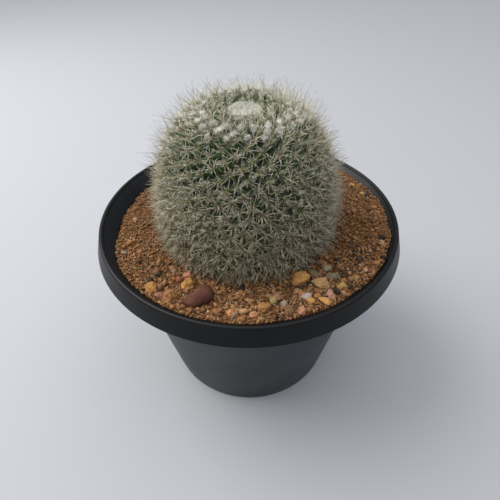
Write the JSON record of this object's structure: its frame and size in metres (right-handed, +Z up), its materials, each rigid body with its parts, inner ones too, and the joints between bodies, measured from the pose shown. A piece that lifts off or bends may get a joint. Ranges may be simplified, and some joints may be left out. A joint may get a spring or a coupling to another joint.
{
  "type": "potted round cactus",
  "caption": "Round spiny cactus with spiral rows of small knobs and a woolly crown, growing in gritty soil with loose stones in a black nursery pot with a rolled rim.",
  "frame": {"origin": "centre of the pot's foot ring, on the surface it stands on", "axes": "+Z up along the pot's axis, -Y the side with the dark red stone and the most loose stones, +X to the right seen from that side"},
  "size_m": [0.208, 0.208, 0.2224],
  "materials": {
    "pot_plastic": "satin",
    "grit": "matte",
    "cactus_skin": "satin",
    "wool": "matte",
    "spine": "satin",
    "red_stone": "matte",
    "ochre_stone": "matte",
    "salmon_stone": "matte",
    "grey_stone": "matte"
  },
  "bodies": {
    "root": {"pot": "pot_plastic", "grit_bed": "grit", "cactus_stem": "cactus_skin", "crown_wool": "wool", "wool_tuft_01": "wool", "wool_tuft_02": "wool", "wool_tuft_03": "wool", "wool_tuft_04": "wool", "wool_tuft_05": "wool", "wool_tuft_06": "wool", "wool_tuft_07": "wool", "wool_tuft_08": "wool", "wool_tuft_09": "wool", "wool_tuft_10": "wool", "wool_tuft_11": "wool", "wool_tuft_12": "wool", "wool_tuft_13": "wool", "wool_tuft_14": "wool", "wool_tuft_15": "wool", "wool_tuft_16": "wool", "wool_tuft_17": "wool", "wool_tuft_18": "wool", "wool_tuft_19": "wool", "wool_tuft_20": "wool", "wool_tuft_21": "wool", "crown_spine_1": "spine", "crown_spine_2": "spine", "crown_spine_3": "spine", "crown_spine_4": "spine", "crown_spine_5": "spine", "crown_spine_6": "spine", "dark_red_stone": "red_stone", "salmon_pebble": "salmon_stone", "ochre_pebble_left": "ochre_stone", "rust_pebble": "red_stone", "ochre_stone_left": "ochre_stone", "ochre_stone_front_left": "ochre_stone", "pink_stone_left": "salmon_stone", "yellow_stone": "ochre_stone", "ochre_slab": "ochre_stone", "ochre_pebble_right": "ochre_stone", "olive_chip_near": "grey_stone", "olive_chip_far": "grey_stone", "pale_chip": "grey_stone", "pink_grey_chip": "grey_stone", "orange_sliver": "ochre_stone", "tan_pebble_right": "ochre_stone", "salmon_pebble_right": "salmon_stone", "brown_stone": "grey_stone", "grey_pebble": "grey_stone", "tan_stone_front": "ochre_stone", "olive_pebble_front": "ochre_stone", "pink_chip_right": "salmon_stone", "salmon_pebble_front": "salmon_stone", "salmon_sliver_front": "salmon_stone", "slate_chip_back": "grey_stone", "ochre_stone_back": "ochre_stone", "tan_pebble_back": "ochre_stone"}
  },
  "joints": []
}
